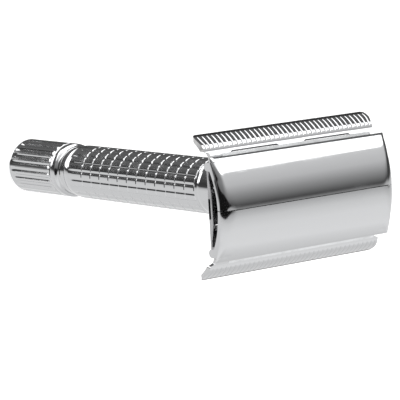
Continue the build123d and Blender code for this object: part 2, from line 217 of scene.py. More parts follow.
class Nodes:
    """A material's node tree, with short calls for the nodes used here."""

    def __init__(self, name, metallic, roughness, colour):
        self.material = bpy.data.materials.new(name)
        self.material.use_nodes = True
        self.tree = self.material.node_tree
        self.shader = self.tree.nodes["Principled BSDF"]
        self.shader.inputs["Metallic"].default_value = metallic
        self.shader.inputs["Roughness"].default_value = roughness
        self.shader.inputs["Base Color"].default_value = (*colour, 1)
        self.place = self.add("ShaderNodeTexCoord").outputs["Object"]

    def add(self, kind):
        return self.tree.nodes.new(kind)

    def link(self, start, end):
        self.tree.links.new(start, end)

    def noise(self, scale, detail=3.0, rough=0.55, stretch=(1, 1, 1), turn=(0, 0, 0)):
        """Noise with a feature size in mm of about 1 / scale."""
        mapping = self.add("ShaderNodeMapping")
        mapping.inputs["Rotation"].default_value = turn
        mapping.inputs["Scale"].default_value = [s * scale / MM for s in stretch]
        self.link(self.place, mapping.inputs["Vector"])
        noise = self.add("ShaderNodeTexNoise")
        noise.inputs["Scale"].default_value = 1.0
        noise.inputs["Detail"].default_value = detail
        noise.inputs["Roughness"].default_value = rough
        self.link(mapping.outputs["Vector"], noise.inputs["Vector"])
        return noise.outputs["Fac"]

    def remap(self, value, low, high, to_low, to_high):
        return range_node(self.tree, value, low, high, to_low, to_high)

    def math(self, operation, first, second):
        return math_node(self.tree, operation, first, second)

    def mix(self, factor, first, second):
        return mix_node(self.tree, factor, (*first, 1), (*second, 1))

    def bump(self, height, strength, distance, after=None):
        node = self.add("ShaderNodeBump")
        node.inputs["Strength"].default_value = strength
        node.inputs["Distance"].default_value = distance * MM
        self.link(height, node.inputs["Height"])
        if after:
            self.link(after, node.inputs["Normal"])
        return node.outputs["Normal"]

    def scratches(self, scale, length, turn, share):
        """Thin lines at an angle; a larger share covers more of the surface."""
        lines = self.noise(scale, 2.0, 0.5, (1.0 / length, 1.0, 1.0), turn)
        return self.remap(lines, 0.72 - share, 0.80 - share, 0.0, 1.0)

    def finish(self, roughness=None, normal=None, colour=None):
        for value, name in ((roughness, "Roughness"), (normal, "Normal"), (colour, "Base Color")):
            if value is not None:
                self.link(value, self.shader.inputs[name])
        return self.material


PLATE_COLOUR, WORN_COLOUR = (0.585, 0.59, 0.6), (0.5, 0.485, 0.455)
BRASS_COLOUR, PATINA_COLOUR = (0.72, 0.53, 0.26), (0.42, 0.29, 0.13)


def chrome(name, waviness, wear):
    """Bright plate: faint waves from polishing, hairline scratches, haze and worn edges."""
    n = Nodes(name, 1.0, 0.06, PLATE_COLOUR)
    haze = n.noise(0.12, 4.0, 0.6)
    grain = n.noise(3.0, 2.0)
    fine = n.scratches(5.0, 18.0, (0.2, 0.4, 0.35), 0.06)
    cross = n.scratches(7.0, 14.0, (0.5, 0.1, -1.1), 0.03)
    marks = n.math("MAXIMUM", fine, cross)
    base = n.remap(haze, 0.42, 0.68, 0.045, 0.11)
    roughness = n.math("ADD", base, n.math("MULTIPLY", marks, 0.09))
    roughness = n.math("ADD", roughness, n.math("MULTIPLY", grain, 0.02))
    edges = n.add("ShaderNodeNewGeometry").outputs["Pointiness"]
    rubbed = n.math("MULTIPLY", n.remap(edges, 0.53, 0.62, 0.0, 1.0), n.remap(haze, 0.4, 0.6, 0.2, 1.0))
    colour = n.mix(n.math("MULTIPLY", rubbed, wear), PLATE_COLOUR, WORN_COLOUR)
    wave = n.bump(n.noise(0.35, 2.0), waviness, 0.05)
    normal = n.bump(marks, 0.04, 0.01, wave)
    return n.finish(roughness, normal, colour)


def satin_steel(name, colour, along, rough):
    """Plated or ground steel with a grain that runs along one axis."""
    n = Nodes(name, 1.0, rough, colour)
    stretch = [1.0, 1.0, 1.0]
    stretch["XYZ".index(along)] = 0.04
    grain = n.noise(9.0, 3.0, 0.6, stretch)
    haze = n.noise(0.25, 3.0)
    streaks = n.remap(grain, 0.3, 0.7, rough - 0.07, rough + 0.08)
    roughness = n.math("ADD", streaks, n.math("MULTIPLY", haze, 0.06))
    darker = tuple(c * 0.82 for c in colour)
    tint = n.mix(n.remap(haze, 0.35, 0.7, 0.0, 1.0), colour, darker)
    return n.finish(roughness, n.bump(grain, 0.12, 0.01), tint)


def machined_brass():
    """Turned brass: fine rings round the axis, and patches of patina."""
    n = Nodes("machined_brass", 1.0, 0.25, BRASS_COLOUR)
    rings = n.noise(8.0, 2.0, 0.5, (0.05, 0.05, 1.0))
    patina = n.noise(0.5, 4.0)
    roughness = n.remap(rings, 0.3, 0.7, 0.2, 0.34)
    tint = n.mix(n.remap(patina, 0.4, 0.7, 0.0, 1.0), BRASS_COLOUR, PATINA_COLOUR)
    return n.finish(roughness, n.bump(rings, 0.15, 0.01), tint)


DOOR_CHROME = chrome("door_chrome", 0.05, 0.35)
BODY_CHROME = chrome("body_chrome", 0.06, 0.6)
INNER_STEEL = satin_steel("inner_steel", (0.5, 0.5, 0.51), "X", 0.26)
TURNED_STEEL = satin_steel("turned_steel", (0.5, 0.5, 0.51), "Z", 0.24)
BLADE_STEEL = satin_steel("blade_steel", (0.52, 0.53, 0.55), "X", 0.22)
BLADE_EDGE = satin_steel("blade_edge", (0.68, 0.69, 0.7), "Y", 0.14)
# Near-black steel: painted shade for the dark line along the guard's outer hem, where a table's contact
# shadow would fall.
HEM_PAINTED_SHADE = satin_steel("hem_painted_shade", (0.08, 0.08, 0.083), "X", 0.3)
BRASS = machined_brass()


def finish_with(made, material):
    made.data.materials.clear()
    made.data.materials.append(material)


# --- Doors ------------------------------------------------------------------

SHEET = 1.0                            # at the crown
LIP_DROP = 0.35                        # underside of the blunt long edge
LIP_WIDTH = 0.3
LIP_ROUND, LIP_FALL = 0.2, 0.14        # width and drop of the long edge's rounding
RIM_DROP = 1.85                        # of the end walls' lower edge, inside the arch
CROWN_ROLL, EDGE_ROLL = 3.5, 0.8       # length of the rolled ends, at the seam and the long edge
END_WALL, EAR_WALL = 0.52, 0.9         # thickness of the end walls, and at the hinges
EAR_RADIUS = 0.85
DIMPLE_X, DIMPLE_Y = 20.1, 9.25        # stake mark over each hinge
DIMPLE_RADIUS, DIMPLE_DEPTH = 0.35, 0.07
HAIR = 0.001                           # decides rounding at a border


def arch(y, drop=0.0):
    """Height of the doors' outer arch above the edge level, or of one inside it by drop."""
    return DOOR_RISE - DOOR_RADIUS + sqrt((DOOR_RADIUS - drop) ** 2 - y * y)


def inner_arch(y):
    """Underside of the doors: the sheet thins from the crown to the lip."""
    half = DOOR_HIGH.y - LIP_WIDTH
    sag = DOOR_RISE - SHEET + LIP_DROP
    radius = (half * half + sag * sag) / (2 * sag)
    return DOOR_RISE - SHEET - radius + sqrt(max(0.0, radius * radius - y * y))


def wall_bottom(y):
    """Lower edge of the end wall: the arched rim, then the ear, then the lip."""
    offset = y - PIVOT.y
    if y < PIVOT.y - EAR_RADIUS - HAIR:
        return arch(y, RIM_DROP)
    if offset < EAR_RADIUS + HAIR:
        return PIVOT.z - EDGE - sqrt(max(0.0, EAR_RADIUS ** 2 - offset ** 2))
    return -LIP_DROP


def end_row(half_length, top, bottom, roll, fall):
    """Half a row of (x, z): the crown, a rolled end that long and high, and the end wall."""
    row = [(x, top) for x in spread(0.0, half_length - roll, 30)[:-1]]
    for turn in spread(0.0, pi / 2, 14):
        row.append((half_length - roll + roll * sin(turn), top - fall + fall * cos(turn)))
    row += [(half_length, z) for z in spread(top - fall, bottom, 7)[1:]]
    return row


def whole_row(half, y):
    """Both halves of a row as points, from -X to +X."""
    return [(-x, y, z + EDGE) for x, z in reversed(half)] + [(x, y, z + EDGE) for x, z in half[1:]]


def dimple(x, y):
    """Depth of the stake mark at a point of the door's top."""
    reach = ((x - DIMPLE_X) ** 2 + (y - DIMPLE_Y) ** 2) / DIMPLE_RADIUS ** 2
    return DIMPLE_DEPTH * exp(-reach)


def door_rows():
    """Outer and inner rows of the rear door, from the seam to the long edge."""
    ear_in, ear_out = PIVOT.y - EAR_RADIUS, PIVOT.y + EAR_RADIUS
    across = spread(DOOR_LOW.y, ear_in - 0.03, 26)
    across += [PIVOT.y - EAR_RADIUS * cos(turn) for turn in spread(0.0, pi, 17)]
    outer_tail = spread(ear_out + 0.02, DOOR_HIGH.y, 5)
    inner_tail = spread(ear_out + 0.02, DOOR_HIGH.y - LIP_WIDTH, 5)
    outer, inner = [], []
    for y, inner_y in zip(across + outer_tail, across + inner_tail):
        roll = CROWN_ROLL - (CROWN_ROLL - EDGE_ROLL) * y / DOOR_HIGH.y
        top = arch(min(y, DOOR_HIGH.y))
        near_lip = DOOR_HIGH.y - y
        if near_lip < LIP_ROUND:
            top -= LIP_FALL * (1 - near_lip / LIP_ROUND) ** 2
        bottom = wall_bottom(y)
        fall = min(roll, max(0.05, top - bottom - 0.06))
        half = end_row(DOOR_HIGH.x, top, bottom, roll, fall)
        outer.append(whole_row([(x, z - dimple(x, y)) for x, z in half], y))
        wall = END_WALL + (EAR_WALL - END_WALL) * smoothstep(ear_in - 0.3, ear_in - 0.05, y)
        under = max(inner_arch(inner_y), -LIP_DROP)
        bottom = min(wall_bottom(inner_y), under)
        roll = max(roll - wall, 0.15)
        fall = min(roll, max(0.0, under - bottom))
        inner.append(whole_row(end_row(DOOR_HIGH.x - wall, under, bottom, roll, fall), inner_y))
    return outer, inner


def add_doors():
    outer, inner = door_rows()
    made = piece("rear_door_shell", *shell(outer, inner), "rear_door", "chrome_plate", ["rear_door"], 0.09)
    finish_with(made, DOOR_CHROME)
    points, faces = shell(mirrored_rows(outer), mirrored_rows(inner))
    made = piece("front_door_shell", points, faces, "front_door", "chrome_plate", ["front_door"], 0.09)
    finish_with(made, DOOR_CHROME)


# --- The bent blade's curve -------------------------------------------------

BLADE_SHEET = 0.1
BLADE_ARCH = 30.0                      # radius of the bent blade's middle surface
BLADE_MIDDLE = 1.31                    # crown of that surface above the edge level


def blade_height(y, drop=0.0):
    """Height of the blade's middle surface above the edge level, or of one inside it by drop."""
    return BLADE_MIDDLE - BLADE_ARCH + sqrt((BLADE_ARCH - drop) ** 2 - y * y)


def blade_seat(y):
    """Height of the blade's underside, which the guard's raised middle bears."""
    return blade_height(y, BLADE_SHEET / 2)


# --- Guard ------------------------------------------------------------------

WING_TOP = -2.0                        # from the edge level
GUARD_SHEET = 0.9
WING_SLOPE = radians(28)               # of the wing's outer strip, down to the bar's crease
WING_BEND = 0.12                       # softness of the bend before that strip
CREST_RADIUS, FLANK_RADIUS = 2.4, 7.3  # the bar's crest and its flatter flank
CREASE_TURN, FLANK_TURN, LIP_TURN = radians(8), radians(45), radians(70)
LIP_Z = -6.0
FLANK_Y = GUARD_HIGH.y - FLANK_RADIUS * sin(LIP_TURN)
FLANK_Z = LIP_Z - FLANK_RADIUS * cos(LIP_TURN)
CREST_Y = FLANK_Y + (FLANK_RADIUS - CREST_RADIUS) * sin(FLANK_TURN)
CREST_Z = FLANK_Z + (FLANK_RADIUS - CREST_RADIUS) * cos(FLANK_TURN)
HEM_TURN = radians(63.5)               # the plain hem lies between this turn and the lip
HEM_WIDTH = FLANK_RADIUS * (sin(LIP_TURN) - sin(HEM_TURN))
WING_HALF_LENGTH, CREST_HALF_LENGTH = 20.3, 21.5
WING_ENDS, BAR_STARTS = 10.9, 11.35    # Y between which the ends step out from the wing to the bar
FLARE_TOP, FLARE_END = -2.7, -4.3      # Z between which the bar's ends flare to their full length
CORNER_HEIGHT, CORNER_LENGTH = 1.1, 0.9
CORNER_INNER, CORNER_OUTER = 11.5, 12.5
CHANNEL_OUTER, CHANNEL_INNER = 3.9, 3.3
CHANNEL_CEILING = 0.6
FILLET = 0.35                          # at the foot of the channel's walls
SLOT_X, SLOT_Y = 9.2, 9.75
SLOT_HALF_LENGTH, SLOT_RADIUS = 6.2, 0.85
SLOT_RIM = 0.3                         # flat coined rim along the slots' outer edges
RIB_PITCH, RIB_DEPTH = 1.17, 0.075
RIB_GROOVE = 0.13                      # half-width of a groove
RIB_START, RIB_FULL = radians(17), radians(34)
COLUMN_GAP = 0.02                      # columns closer than this are joined


def on_crest(turn, thickness):
    """Y and Z of the bar's crest, that thickness inside it, where the section has turned that much."""
    radius = CREST_RADIUS - thickness
    return CREST_Y + radius * sin(turn), CREST_Z + radius * cos(turn)


def on_flank(turn, thickness):
    """The same for the flank, which meets the crest without a kink."""
    radius = FLANK_RADIUS - thickness
    return FLANK_Y + radius * sin(turn), FLANK_Z + radius * cos(turn)


def wing_height(y, thickness):
    """Top or underside of the wing: flat, then sloping down to the crease with a soft bend."""
    crease_y, crease_z = on_crest(CREASE_TURN, thickness)
    flat = WING_TOP - thickness
    slope = crease_z + (crease_y - y) * tan(WING_SLOPE)
    gap = (slope - flat) / WING_BEND
    if gap > 4:
        return flat
    return flat - WING_BEND * (max(0.0, -gap) + exp(-abs(gap)) * 0.5)


def slot_opening(x):
    """Half the width of a lather slot at x, or 0 beside it."""
    along = abs(abs(x) - SLOT_X) - (SLOT_HALF_LENGTH - SLOT_RADIUS)
    if along <= 0:
        return SLOT_RADIUS
    return sqrt(max(0.0, SLOT_RADIUS ** 2 - along ** 2))


def groove_columns(low, high):
    """X of the columns between two values, close together at each groove across the bar."""
    half = [RIB_GROOVE * share for share in (0.0, 0.3, 0.5, 0.75, 1.0)]
    half += [RIB_PITCH * share for share in (0.25, 0.375)]
    offsets = half + [-offset for offset in half[1:]] + [RIB_PITCH * 0.5]
    grooves = range(int(low / RIB_PITCH) - 1, int(high / RIB_PITCH) + 2)
    columns = {round(i * RIB_PITCH + offset, 4) for i in grooves for offset in offsets}
    return sorted(x for x in columns if low < x < high)


def guard_columns():
    """X of the columns: those of the grooves and of the slots' tips, none past the wings."""
    grooves = int((WING_HALF_LENGTH - 0.8) / RIB_PITCH)
    limit = (grooves + 0.51) * RIB_PITCH
    columns = set(groove_columns(-limit, limit))
    tips = set()
    for side in (-1, 1):
        for tip in (-1, 1):
            end = side * SLOT_X + tip * SLOT_HALF_LENGTH
            tips.add(round(end, 4))
            for turn in spread(0.0, 0.9, 5):
                columns.add(round(end - tip * SLOT_RADIUS * (1 - cos(turn)), 4))
    ordered = sorted(columns)
    kept = [ordered[0]]
    for x in ordered[1:]:
        if x - kept[-1] > COLUMN_GAP:
            kept.append(x)
        elif x in tips:
            kept[-1] = x
    return kept


def half_length_at(y, z):
    """Half-length of the guard at a point of its section; the bar's lip has round corners."""
    step = CREST_HALF_LENGTH - WING_HALF_LENGTH
    flare = GUARD_HIGH.x - CREST_HALF_LENGTH
    reach = WING_HALF_LENGTH + step * smoothstep(WING_ENDS, BAR_STARTS, y)
    reach += flare * smoothstep(FLARE_TOP, FLARE_END, z)
    near_lip = max(0.0, min(1.0, (LIP_Z + CORNER_HEIGHT - z) / CORNER_HEIGHT))
    corner = CORNER_LENGTH * (1 - sqrt(1 - near_lip ** 2))
    reach -= corner * smoothstep(CORNER_INNER, CORNER_OUTER, y)
    return min(reach, GUARD_HIGH.x)


def guard_section(thickness):
    """Rows of (kind, value) from the middle out; a row is turned into y and z at each column."""
    if thickness:
        rows = [("flat", y) for y in spread(0.0, CHANNEL_INNER - 0.25, 5)]
        rows += [("wall", z) for z in spread(CHANNEL_CEILING - 0.25, WING_TOP - GUARD_SHEET + FILLET, 6)]
    else:
        rows = [("roof", y) for y in spread(0.0, CHANNEL_OUTER - 0.2, 5)]
        rows += [("wall", z) for z in spread(blade_seat(CHANNEL_OUTER) - 0.2, WING_TOP + FILLET, 6)]
    rows += [("wing", share) for share in spread(0.0, 1.0, 12)]
    rows += [("rim", share) for share in (0.0, 0.5, 1.0)]
    rows += [("bar", share) for share in spread(0.05, 0.95, 5)]
    rows += [("crest", turn) for turn in spread(CREASE_TURN, FLANK_TURN, 14)[:-1]]
    rows += [("flank", turn) for turn in spread(FLANK_TURN, HEM_TURN, 14)]
    rows += [("hem", turn) for turn in spread(HEM_TURN, LIP_TURN, 4)[1:]]
    return rows


def guard_point(kind, value, x, thickness):
    """Y and Z of a row at x; thickness is 0 for the top and the sheet's own for the underside."""
    wall_y = CHANNEL_INNER if thickness else CHANNEL_OUTER
    opening = slot_opening(x)
    foot_y = on_crest(CREASE_TURN, thickness)[0]
    if kind == "flat":
        return value, CHANNEL_CEILING
    if kind == "roof":
        return value, blade_seat(value)
    if kind == "wall":
        return wall_y, value
    if kind == "wing":
        y = wall_y + FILLET + (SLOT_Y - opening - wall_y - FILLET) * value
        return y, wing_height(y, thickness)
    rim = SLOT_RIM * min(1.0, opening / 0.4)
    rim_y = SLOT_Y + opening + rim
    if kind == "rim":
        return rim_y - rim * (1 - value), wing_height(rim_y, thickness)
    if kind == "bar":
        y = rim_y + (foot_y - rim_y) * value
        return y, wing_height(y, thickness)
    if kind == "crest":
        return on_crest(value, thickness)
    return on_flank(value, thickness)


def rib_depth(kind, turn, x):
    """How deep the grooves across the bar are cut where the section has turned by that much."""
    if kind not in ("crest", "flank"):
        return 0.0
    along = smoothstep(RIB_START, RIB_FULL, turn) * smoothstep(HEM_TURN, HEM_TURN - 0.03, turn)
    inside = smoothstep(GUARD_HIGH.x - 0.2, GUARD_HIGH.x - 0.45, abs(x))
    share = (x / RIB_PITCH) % 1.0
    away = min(share, 1 - share) * RIB_PITCH
    return RIB_DEPTH * along * inside * (1 - smoothstep(0.03, RIB_GROOVE, away))


def guard_rows(thickness, side, columns):
    """Rows of points; past the last column, each row is squeezed or stretched to its own length."""
    rows = []
    edge = columns[-1]
    past = groove_columns(edge + 0.02, GUARD_HIGH.x - 0.02) + [GUARD_HIGH.x]
    for kind, value in guard_section(thickness):
        row = []
        y0, z0 = guard_point(kind, value, edge, thickness)
        squeeze = (half_length_at(abs(y0), z0) - edge) / (GUARD_HIGH.x - edge)
        for full_x in [-x for x in reversed(past)] + columns + past:
            inner_x = max(-edge, min(edge, full_x))
            x = inner_x + (full_x - inner_x) * squeeze
            y, z = guard_point(kind, value, inner_x, thickness)
            depth = 0.0 if thickness else rib_depth(kind, value, full_x)
            if depth:
                y -= depth * sin(value)
                z -= depth * cos(value)
            row.append((x, side * y, z + EDGE))
        rows.append(row)
    return rows


def guard_half(side, columns):
    """Points and faces of one half of the guard; the middle is left open to meet the other."""
    top = guard_rows(0.0, side, columns)
    under = guard_rows(GUARD_SHEET, side, columns)
    rows, width = len(top), len(top[0])
    points = [p for row in top for p in row] + [p for row in under for p in row]
    size = rows * width
    slit = [kind for kind, _ in guard_section(0.0)].index("rim")
    faces = []
    for first in (0, size):
        for i in range(rows - 1):
            if i == slit - 1:
                continue
            for j in range(width - 1):
                a = first + i * width + j
                faces.append((a, a + 1, a + width + 1, a + width))
    for i in range(rows - 1):
        if i == slit - 1:
            continue
        for j in (0, width - 1):
            a = i * width + j
            faces.append((a, a + width, a + width + size, a + size))
    xs = [p[0] for p in top[slit]]
    for j in range(width - 1):
        a = (rows - 1) * width + j
        faces.append((a, a + 1, a + 1 + size, a + size))
        if slot_opening(xs[j]) > 0 or slot_opening(xs[j + 1]) > 0:
            for i in (slit - 1, slit):
                a = i * width + j
                faces.append((a, a + 1, a + 1 + size, a + size))
    return points, faces


def add_guard():
    points, faces = both_sides(guard_half, guard_columns())
    made = piece("guard_sheet", points, faces, "handle", "chrome_plate", ["guard_plate"], 0.0, 40)
    finish_with(made, BODY_CHROME)
    # The plain hem along the bar's outer lip gets the near-black material, which is painted shade and not a
    # dark finish of the plate.
    made.data.materials.append(HEM_PAINTED_SHADE)
    for face in made.data.polygons:
        if face.center.y ** 2 > ((GUARD_HIGH.y - HEM_WIDTH) * MM) ** 2:
            face.material_index = 1


# --- Handle -----------------------------------------------------------------

GRIP_START, GRIP_PITCH, GRIP_RINGS = 25.3, 3.42, 13
GRIP_END = GRIP_START + GRIP_RINGS * GRIP_PITCH
GRIP_MARGIN = 0.4                      # past this, the tube is plain
RING_DEPTH, RING_HALF_WIDTH = 0.13, 0.16
RING_STATIONS = (0.05, 0.09, 0.13, 0.18, 0.3)
PAD_GROOVE, PAD_PHASE = 0.19, 0.55     # depth of the long grooves, and their turn in parts of a pad
BORE_RADIUS = 4.0
NECK_RADIUS = 5.35
SHOULDER_START, SHOULDER_RISE = 1.6, 2.5
BEAD_GROOVE = 0.03                     # fine line turned past the last ring


def ring_cut(z):
    """Depth of the round-bottomed ring grooves at z; the grip's foot has none."""
    place = (z - GRIP_START) / GRIP_PITCH
    nearest = min(max(round(place), 1), GRIP_RINGS)
    away = abs(place - nearest) * GRIP_PITCH / RING_HALF_WIDTH
    return RING_DEPTH * (1 - smoothstep(0.35, 1.15, away))


def pad_cut(turn):
    """Depth of the long shallow grooves that part the pads."""
    share = (turn * PADS / (2 * pi) + PAD_PHASE) % 1.0
    away = min(share, 1 - share)
    return PAD_GROOVE * (1 - smoothstep(0.02, 0.27, away))


def handle_radius(r, z, turn):
    """Radius of the tube with the rings and pads cut in, at a point of its profile."""
    if r < HANDLE_HIGH.x - 0.2 or not GRIP_START - GRIP_MARGIN < z < GRIP_END + GRIP_MARGIN:
        return r
    run_out = smoothstep(GRIP_END + 0.25, GRIP_END - 0.25, z)
    return r - max(ring_cut(z), pad_cut(turn) * run_out)


def handle_profile():
    """Loop of (radius, z): foot, neck, shoulder, grip, plain top and bore."""
    full, bore = HANDLE_HIGH.x, BORE_RADIUS
    foot, top = HANDLE_LOW.z, HANDLE_HIGH.z
    loop = [(bore, foot + 0.1), (bore + 0.1, foot), (NECK_RADIUS - 0.12, foot), (NECK_RADIUS, foot + 0.12)]
    loop += [(NECK_RADIUS, foot + 0.8), (NECK_RADIUS, foot + SHOULDER_START - 0.1)]
    for turn in spread(0.0, pi / 2, 14):
        r = NECK_RADIUS + (full - NECK_RADIUS) * sin(turn) ** 1.2
        loop.append((r, foot + SHOULDER_START + SHOULDER_RISE * (1 - cos(turn))))
    for ring in range(GRIP_RINGS + 1):
        z = GRIP_START + ring * GRIP_PITCH
        loop += [(full, z - offset) for offset in reversed(RING_STATIONS)]
        loop += [(full, z + offset) for offset in RING_STATIONS]
        if ring < GRIP_RINGS:
            loop += [(full, z + share * GRIP_PITCH) for share in (0.3, 0.5, 0.7)]
    loop += [(full, GRIP_END + 0.85), (full - BEAD_GROOVE, GRIP_END + 0.95), (full, GRIP_END + 1.05)]
    loop += [(full, z) for z in spread(GRIP_END + 2.0, top - 0.15, 8)]
    loop += [(full - 0.15, top), (bore, top)]
    return loop


def add_handle():
    points, faces = turned(handle_profile(), PADS * STEPS, handle_radius)
    made = piece("handle_grip", points, faces, "handle", "chrome_plate", ["handle_tube"], 0.0, 40)
    finish_with(made, BODY_CHROME)


# --- Knob -------------------------------------------------------------------

FLUTE_TOP, FLUTE_DEPTH = 16.2, 0.24
FLUTE_END = FLUTE_TOP + 0.25
FLUTE_SHARE = 0.62                     # of the pitch, which a flute takes up
PLAIN_RADIUS = 5.0                     # inside this the knob is round
CAP_RADIUS = CAP_HIGH.x
SOCKET_RADIUS = 3.0                    # hole in the knob's top
COLLAR_Z = FLUTE_TOP + 1.25            # middle of the collar over the flutes
COLLAR_HALF_HEIGHT, COLLAR_BULGE = 0.95, 0.12


def knob_radius(r, z, turn):
    """Radius of the knob with the flutes cut in; they fade out at both ends."""
    if r < PLAIN_RADIUS or z > FLUTE_END:
        return r
    share = (turn * FLUTES / (2 * pi)) % 1.0
    away = min(share, 1 - share) * 2
    if away > FLUTE_SHARE:
        return r
    round_cut = FLUTE_DEPTH * sqrt(max(0.0, 1 - (away / FLUTE_SHARE) ** 2)) ** 1.4
    run_out = sqrt(max(0.0, 1 - smoothstep(FLUTE_TOP - 0.9, FLUTE_END, z)))
    foot = smoothstep(0.2, 2.6, z)
    return r - round_cut * run_out * foot


def knob_profile():
    """Loop of (radius, z): rounded foot, fluted side, collar, neck and the hollow for the cap."""
    full, top = KNOB_HIGH.x, KNOB_HIGH.z
    loop = [(CAP_RADIUS, 0.12), (CAP_RADIUS + 0.12, 0.0), (full - 0.24, 0.0), (full - 0.14, 0.03)]
    loop += [(full - 0.04, 0.12), (full, 0.22)]
    loop += [(full, z) for z in (0.5, 0.9, 1.3, 1.7, 2.1, 2.6, 5.0, 8.0, 11.0, 13.5, 14.8)]
    loop += [(full, z) for z in spread(15.2, FLUTE_TOP + 0.2, 9)]
    for turn in spread(-pi / 2, pi / 2, 11):
        r = full - COLLAR_BULGE + COLLAR_BULGE * cos(turn)
        loop.append((r, COLLAR_Z + COLLAR_HALF_HEIGHT * sin(turn)))
    loop += [(full - 0.3, FLUTE_TOP + 2.32), (NECK_RADIUS + 0.06, FLUTE_TOP + 2.5)]
    loop += [(NECK_RADIUS, FLUTE_TOP + 2.62), (NECK_RADIUS, top - 0.12), (NECK_RADIUS - 0.12, top)]
    loop += [(SOCKET_RADIUS, top), (SOCKET_RADIUS, FLUTE_TOP + 0.3), (CAP_RADIUS, FLUTE_TOP + 0.3)]
    return loop


def cap_profile():
    """Dished face with a rounded rim and a small centring pip."""
    rim = CAP_RADIUS - 0.01
    pip = [(0.0, 0.12), (0.28, 0.12), (0.42, 0.2), (0.6, 0.24)]
    dish = [(1.5, 0.22), (3.2, 0.14), (rim - 0.45, 0.02)]
    edge = [(rim - 0.3, 0.0), (rim - 0.1, 0.03), (rim, 0.14), (rim, CAP_HIGH.z - 0.05)]
    back = [(rim - 0.05, CAP_HIGH.z), (0.0, CAP_HIGH.z)]
    return pip + dish + edge + back


def add_knob():
    points, faces = turned(knob_profile(), FLUTES * STEPS, knob_radius)
    made = piece("knob_grip", points, faces, "knob", "chrome_plate", ["knob_shell"], 0.0, 40)
    finish_with(made, BODY_CHROME)
    points, faces = turned(cap_profile(), 96)
    made = piece("knob_foot", points, faces, "knob", "chrome_plate", ["knob_end_cap"], 0.0, 40)
    finish_with(made, BODY_CHROME)


# --- Blade ------------------------------------------------------------------

BLADE_EDGE_LENGTH = 18.6               # half-length of the ground edges
BLADE_CORNER = (BLADE_EDGE_LENGTH - 0.02, BLADE_EDGE_LENGTH + 0.28)
TAB_HALF_WIDTH, TAB_CORNER = 6.5, 0.35
SLOT_HALF_REACH, SLOT_HALF_WIDTH = 17.2, 1.35
HOLE_RADIUS, HOLE_X = 2.3, 12.7
GRIND, GRIND_TIP = 0.9, 0.008          # width of the ground bevel, and half its thickness at the edge
PLAIN_BORDER = 0.3                     # the same strip past the ends of the edges


def blade_opening(x):
    """Half-width of the long slot and its three round holes at x."""
    along = abs(x) - (SLOT_HALF_REACH - SLOT_HALF_WIDTH)
    if abs(x) >= SLOT_HALF_REACH:
        slot = 0.0
    elif along <= 0:
        slot = SLOT_HALF_WIDTH
    else:
        slot = sqrt(SLOT_HALF_WIDTH ** 2 - along ** 2)
    for hole in (-HOLE_X, 0.0, HOLE_X):
        if abs(x - hole) < HOLE_RADIUS:
            slot = max(slot, sqrt(HOLE_RADIUS ** 2 - (x - hole) ** 2))
    return slot


def blade_reach(x):
    """Half-width of the blade at x: full along the edges, narrow at the tabs."""
    corner = smoothstep(*BLADE_CORNER, abs(x))
    full = BLADE_HIGH.y
    tab = TAB_HALF_WIDTH - TAB_CORNER * smoothstep(BLADE_HIGH.x - 0.5, BLADE_HIGH.x, abs(x)) ** 2
    return full + (tab - full) * corner


def blade_columns():
    """X of the columns: evenly spaced, and closer at the corners, the slot's ends and the holes."""
    half = set(spread(0.0, BLADE_HIGH.x, 110))
    half |= set(spread(*BLADE_CORNER, 5))
    half |= {SLOT_HALF_REACH - SLOT_HALF_WIDTH * (1 - cos(t)) for t in spread(0.0, 0.9, 5)}
    half |= {h + s * HOLE_RADIUS for h in (0.0, HOLE_X) for s in (-0.995, 0.995) if h + s * HOLE_RADIUS > 0}
    ordered = sorted(half)
    return [-x for x in reversed(ordered[1:])] + ordered


def blade_half(side, columns):
    """Points and faces of one half of the bent blade, open along the middle where there is no slot."""
    shares = [0.0, 0.12, 0.25, 0.4, 0.55, 0.7, 0.82, 0.9]
    grid = {1: [], -1: []}
    for face in (1, -1):
        for share in shares + ["grind", "edge"]:
            row = []
            for x in columns:
                opening, reach = blade_opening(x), blade_reach(x)
                ground = abs(x) <= BLADE_EDGE_LENGTH
                shoulder = reach - (GRIND if ground else PLAIN_BORDER)
                half = BLADE_SHEET / 2
                if share == "grind":
                    y = shoulder
                elif share == "edge":
                    y = reach
                    half = GRIND_TIP if ground else half
                else:
                    y = opening + (shoulder - 0.3 - opening) * share / shares[-1]
                row.append((x, side * y, blade_height(y) + face * half + EDGE))
            grid[face].append(row)
    rows, width = len(grid[1]), len(columns)
    points = [p for face in (1, -1) for row in grid[face] for p in row]
    size = rows * width
    faces = grid_faces(rows, width) + grid_faces(rows, width, size)
    for j in range(width - 1):
        a = (rows - 1) * width + j
        faces.append((a, a + 1, a + 1 + size, a + size))
        if blade_opening(columns[j]) > 0 or blade_opening(columns[j + 1]) > 0:
            faces.append((j, j + 1, j + 1 + size, j + size))
    for i in range(rows - 1):
        for j in (0, width - 1):
            a = i * width + j
            faces.append((a, a + width, a + width + size, a + size))
    return points, faces


def add_blade():
    points, faces = both_sides(blade_half, blade_columns())
    made = piece("blade_sheet", points, faces, "handle", "blade_steel",
                 ["double_edge_blade"], 0.0, 20, 0.001)
    finish_with(made, BLADE_STEEL)
    made.data.materials.append(BLADE_EDGE)
    for face in made.data.polygons:
        middle = face.center / MM
        if abs(middle.y) > BLADE_HIGH.y - GRIND and abs(middle.x) < BLADE_EDGE_LENGTH:
            face.material_index = 1


# --- Carriage and rivets ----------------------------------------------------

LUG_RADIUS = 1.0
STRAP_SIDE, STRAP_TOP = -2.2, -1.6     # top of the cross plate at its sides and middle
HEAD_RADIUS, SHANK_RADIUS = 1.1, 0.6   # of the rivets


